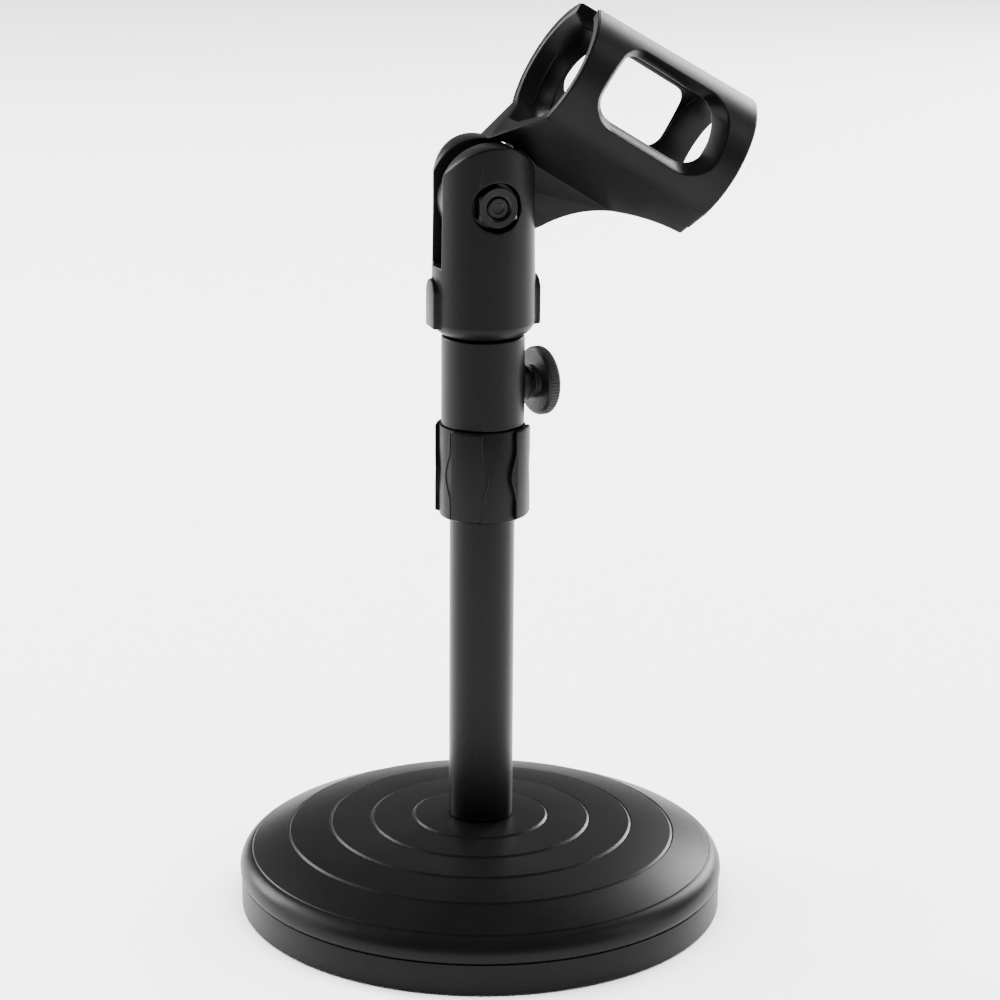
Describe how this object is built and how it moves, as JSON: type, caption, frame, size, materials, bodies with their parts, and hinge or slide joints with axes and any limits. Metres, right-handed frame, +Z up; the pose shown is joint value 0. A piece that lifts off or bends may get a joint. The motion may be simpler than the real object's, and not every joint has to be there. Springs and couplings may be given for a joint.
{
  "type": "desktop microphone stand",
  "caption": "Desktop stand for a hand microphone: round weighted base, height post with a twist clutch and a thumb screw, tilting spring clip.",
  "frame": {"origin": "middle of the foot pad's underside, on the mast's axis", "axes": "+Z up the mast, +X the way the clip leans and points at rest, Y along the clip's pivot bolt"},
  "size_m": [0.1357, 0.1298, 0.2399],
  "materials": {
    "foot_rubber": "matt EVA rubber disc",
    "zinc_steel": "bright zinc plated steel",
    "cast_iron": "bare sand-cast iron",
    "abs_base": "satin black moulded ABS",
    "painted_tube": "satin black powder coat on steel",
    "abs_sleeve": "satin black moulded ABS",
    "abs_collar": "satin black moulded ABS",
    "abs_knob": "satin black moulded ABS",
    "abs_clip_base": "satin black moulded ABS",
    "abs_clip": "satin black moulded ABS",
    "nylon": "natural nylon",
    "brass": "turned brass",
    "black_zinc": "black zinc plated steel"
  },
  "bodies": {
    "stand": {"base_foot_pad": "foot_rubber", "base_plate": "zinc_steel", "base_plate_screws": "zinc_steel", "base_weight": "cast_iron", "base_cover": "abs_base", "tube_bolt": "zinc_steel", "tube_bolt_washer": "zinc_steel", "tube_foot_plug": "zinc_steel", "lower_tube": "painted_tube", "clutch_body": "abs_sleeve", "clutch_collet": "nylon", "clutch_slip_washer": "nylon", "clutch_insert": "brass"},
    "collar": {"twist_collar": "abs_collar"},
    "thumb_screw": {"thumb_screw_tip": "nylon", "thumb_screw_stud": "zinc_steel", "thumb_screw_knob": "abs_knob"},
    "post": {"inner_tube": "painted_tube", "inner_tube_bush": "nylon", "thread_stud": "black_zinc"},
    "clip_swivel": {"clip_base": "abs_clip_base", "clip_base_insert": "brass", "pivot_bolt": "black_zinc", "pivot_nut": "black_zinc", "pivot_washers": "black_zinc"},
    "clip": {"clip_holder": "abs_clip"}
  },
  "joints": [
    {"name": "collar_twist", "type": "hinge", "parent": "stand", "child": "collar", "pos_m": [0, 0, 0.12], "axis": [0, 0, 1], "range_deg": [0, 180]},
    {"name": "thumb_screw_turn", "type": "hinge", "parent": "stand", "child": "thumb_screw", "pos_m": [0, 0, 0.1423], "axis": [0.9781, 0.2079, 0], "range_deg": [0, 360]},
    {"name": "height_slide", "type": "slide", "parent": "stand", "child": "post", "axis": [0, 0, 1], "range_m": [0, 0.08]},
    {"name": "clip_turn", "type": "hinge", "parent": "post", "child": "clip_swivel", "pos_m": [0, 0, 0.16], "axis": [0, 0, 1], "continuous": true},
    {"name": "clip_tilt", "type": "hinge", "parent": "clip_swivel", "child": "clip", "pos_m": [0, 0, 0.1915], "axis": [0, 1, 0], "range_deg": [-115, 30]}
  ]
}
